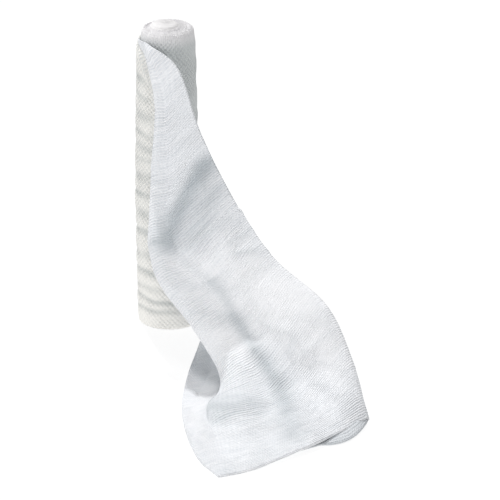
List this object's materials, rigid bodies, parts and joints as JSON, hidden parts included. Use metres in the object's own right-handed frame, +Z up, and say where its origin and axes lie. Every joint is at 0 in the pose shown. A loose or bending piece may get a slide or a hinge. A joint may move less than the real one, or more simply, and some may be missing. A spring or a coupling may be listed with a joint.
{
  "type": "gauze bandage roll",
  "caption": "Upright roll of crinkled white gauze bandage for dressing wounds, with its loose end pulled forwards in soft folds over the surface",
  "frame": {"origin": "centre of the roll's flat base, on the surface that the object rests on", "axes": "Z is up along the roll; -Y is forwards, the way the loose end is pulled; X is to the right as seen from the front"},
  "size_m": [0.1091, 0.1933, 0.1514],
  "materials": {
    "wound_gauze": "matt crinkled cotton gauze, warm white, wound tightly",
    "loose_gauze": "matt crinkled cotton gauze, cool white, one open-weave layer"
  },
  "bodies": {
    "root": {"roll": "wound_gauze", "loose_end": "loose_gauze"}
  },
  "joints": []
}
